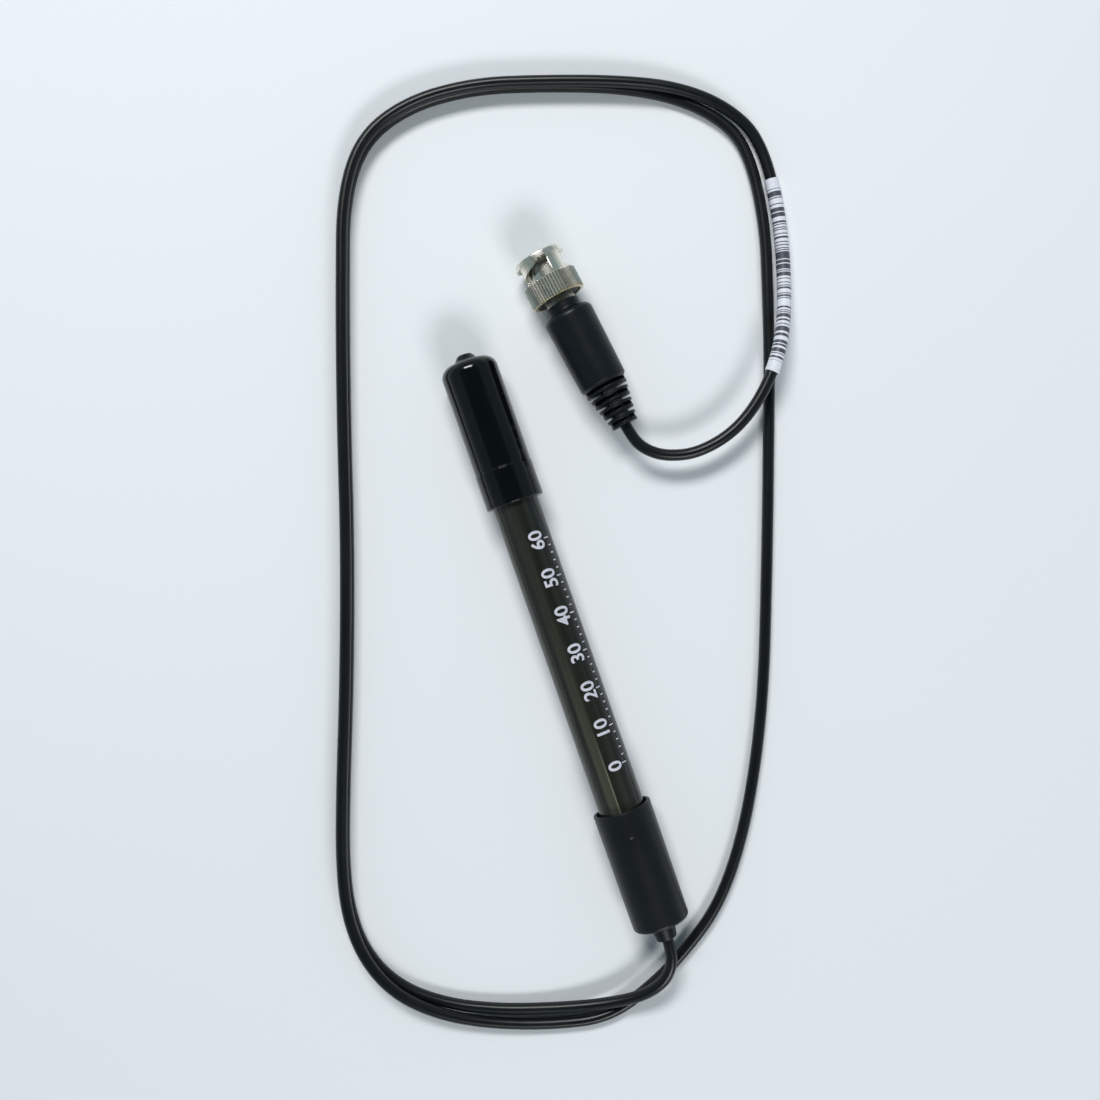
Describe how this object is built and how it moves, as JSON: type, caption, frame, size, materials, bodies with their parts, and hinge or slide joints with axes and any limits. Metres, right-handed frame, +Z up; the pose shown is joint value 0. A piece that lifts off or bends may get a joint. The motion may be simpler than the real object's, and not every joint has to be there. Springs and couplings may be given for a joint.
{
  "type": "ph electrode",
  "caption": "Laboratory pH electrode lying on its side, with protective tip cap, tinted tube, rear cap, thin cable in two loose turns and a bayonet plug.",
  "frame": {"origin": "on the floor, below the middle of the electrode's length", "axes": "+Y along the electrode towards its sensing tip, +Z up from the floor it lies on"},
  "size_m": [0.1702, 0.2435, 0.0152],
  "materials": {
    "cap_vinyl": "glossy dip-moulded soft vinyl",
    "tinted_tube": "smoke-tinted clear plastic",
    "cap_plastic": "satin moulded plastic",
    "relief_rubber": "satin flexible plastic",
    "clear_glass": "clear blown glass",
    "clear_gel": "clear buffer liquid",
    "dark_gel": "gelled electrolyte",
    "silver": "drawn silver with a grey chloride coat",
    "silicone": "moulded silicone",
    "white_ceramic": "porous unglazed",
    "dark_resin": "cast resin",
    "cable_jacket": "semi-gloss flexible jacket",
    "white_insulation": "extruded or turned white insulation",
    "copper_wire": "tinned and bare copper",
    "splice_sleeve": "shrunk sleeve",
    "nickel_plate": "warm nickel plate over brass",
    "spring_steel": "spring steel",
    "dark_steel": "blackened spring steel",
    "gold_plate": "gold plate",
    "boot_plastic": "satin flexible moulding",
    "label_film": "printed wrap film"
  },
  "bodies": {
    "root": {"body_tube": "tinted_tube", "rear_cap": "cap_plastic", "strain_relief": "relief_rubber", "glass_stem": "clear_glass", "inner_buffer": "clear_gel", "measuring_wire": "silver", "stem_plug": "silicone", "reference_gel": "dark_gel", "reference_wire": "silver", "reference_junction": "white_ceramic", "tip_seal": "dark_resin", "chamber_plug": "dark_resin", "potting": "dark_resin", "cable_end": "cable_jacket", "cable_core": "white_insulation", "centre_conductor": "copper_wire", "signal_splice": "splice_sleeve", "shield_tail": "copper_wire", "shield_splice": "splice_sleeve", "plug_body": "nickel_plate", "plug_gasket": "silicone", "spring_washer": "spring_steel", "retaining_ring": "dark_steel", "plug_insulator": "white_insulation", "centre_pin": "gold_plate", "plug_shield": "copper_wire", "crimp_ferrule": "nickel_plate", "plug_boot": "boot_plastic", "plug_cable_end": "cable_jacket", "plug_cable_core": "white_insulation", "plug_conductor": "copper_wire", "cord": "cable_jacket", "cord_label": "label_film"},
    "protective_cap": {"tip_cap": "cap_vinyl"},
    "nut": {"coupling_nut": "nickel_plate"}
  },
  "joints": [
    {"name": "cap_pull", "type": "slide", "parent": "root", "child": "protective_cap", "axis": [0, 1, 0], "range_m": [0, 0.045]},
    {"name": "nut_turn", "type": "hinge", "parent": "root", "child": "nut", "pos_m": [0.02699, 0.09014, 0.0072], "axis": [-0.1478, 0.989, 0], "continuous": true}
  ]
}
